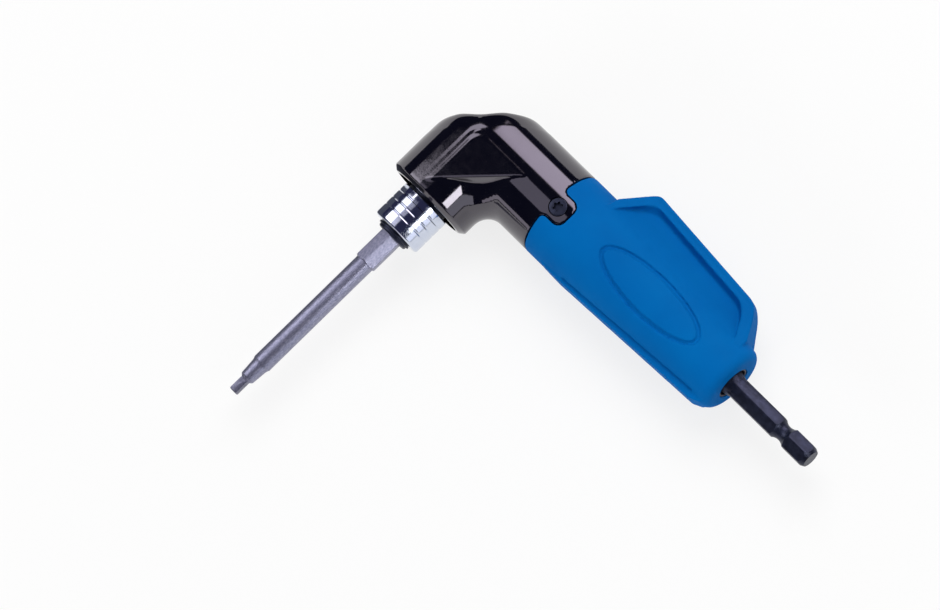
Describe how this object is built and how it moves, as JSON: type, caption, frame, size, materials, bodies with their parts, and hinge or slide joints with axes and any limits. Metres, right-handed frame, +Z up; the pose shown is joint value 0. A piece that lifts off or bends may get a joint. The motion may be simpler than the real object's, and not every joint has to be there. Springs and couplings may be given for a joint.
{
  "type": "right-angle bit driver",
  "caption": "L-shaped right-angle bit driver: a hexagon drill shank turns bevel gears in a black elbow head, with a winged blue handle and a quick-change collar holding a square-drive bit.",
  "frame": {"origin": "centre of the drive shank's end face", "axes": "+X along the input axis, out of the shank; -Y along the output axis, towards the bit; +Z up with the tool lying on its side"},
  "size_m": [0.1457, 0.1229, 0.0282],
  "materials": {
    "black_paint": "glossy black coating on a casting",
    "blue_plastic": "matt moulded blue",
    "black_steel": "black oxide steel",
    "chrome": "bright plated, turned",
    "bit_steel": "grey phosphated steel",
    "plain_steel": "ground steel",
    "bronze": "sintered bronze"
  },
  "bodies": {
    "housing": {"gear_head": "black_paint", "handle": "blue_plastic", "top_screw": "black_steel", "bottom_screw": "black_steel", "rear_bush": "black_steel", "tail_bush": "bronze", "input_bearing_outer_ring": "plain_steel", "output_bearing_outer_ring": "plain_steel", "nose_retaining_ring": "black_steel"},
    "input_train": {"input_shaft": "black_steel", "drive_pinion": "plain_steel", "pinion_pin": "plain_steel", "input_spacer": "plain_steel", "input_bearing_inner_ring": "plain_steel", "shaft_retaining_ring": "black_steel"},
    "output_train": {"output_spindle": "black_steel", "output_gear": "plain_steel", "gear_pin": "plain_steel", "output_spacer": "plain_steel", "output_bearing_inner_ring": "plain_steel", "bit_magnet": "plain_steel", "snap_ring": "black_steel", "collar_spring": "plain_steel", "square_bit": "bit_steel"},
    "input_cage": {"input_bearing_ball_cage": "plain_steel"},
    "output_cage": {"output_bearing_ball_cage": "plain_steel"},
    "collar": {"quick_change_collar": "chrome"},
    "lock_ball": {"lock_ball": "plain_steel"}
  },
  "joints": [
    {"name": "input_spin", "type": "hinge", "parent": "housing", "child": "input_train", "pos_m": [0, 0, 0], "axis": [1, 0, 0], "continuous": true},
    {"name": "output_spin", "type": "hinge", "parent": "housing", "child": "output_train", "pos_m": [-0.1318, 0, 0], "axis": [0, 1, 0], "continuous": true},
    {"name": "input_cage_spin", "type": "hinge", "parent": "housing", "child": "input_cage", "pos_m": [-0.1318, 0, 0], "axis": [1, 0, 0], "continuous": true},
    {"name": "output_cage_spin", "type": "hinge", "parent": "housing", "child": "output_cage", "pos_m": [-0.1318, 0, 0], "axis": [0, 1, 0], "continuous": true},
    {"name": "collar_slide", "type": "slide", "parent": "output_train", "child": "collar", "axis": [0, 1, 0], "range_m": [0, 0.0022], "stiffness_N_per_m": 1500, "deforming": ["collar_spring"]},
    {"name": "lock_ball_slide", "type": "slide", "parent": "output_train", "child": "lock_ball", "axis": [0, 0, 1], "range_m": [0, 0.00088]}
  ],
  "couplings": [
    {"joint": "output_spin", "follows": "input_spin", "ratio": 1},
    {"joint": "input_cage_spin", "follows": "input_spin", "ratio": 0.41},
    {"joint": "output_cage_spin", "follows": "input_spin", "ratio": 0.41},
    {"joint": "lock_ball_slide", "follows": "collar_slide", "ratio": 0.4}
  ]
}
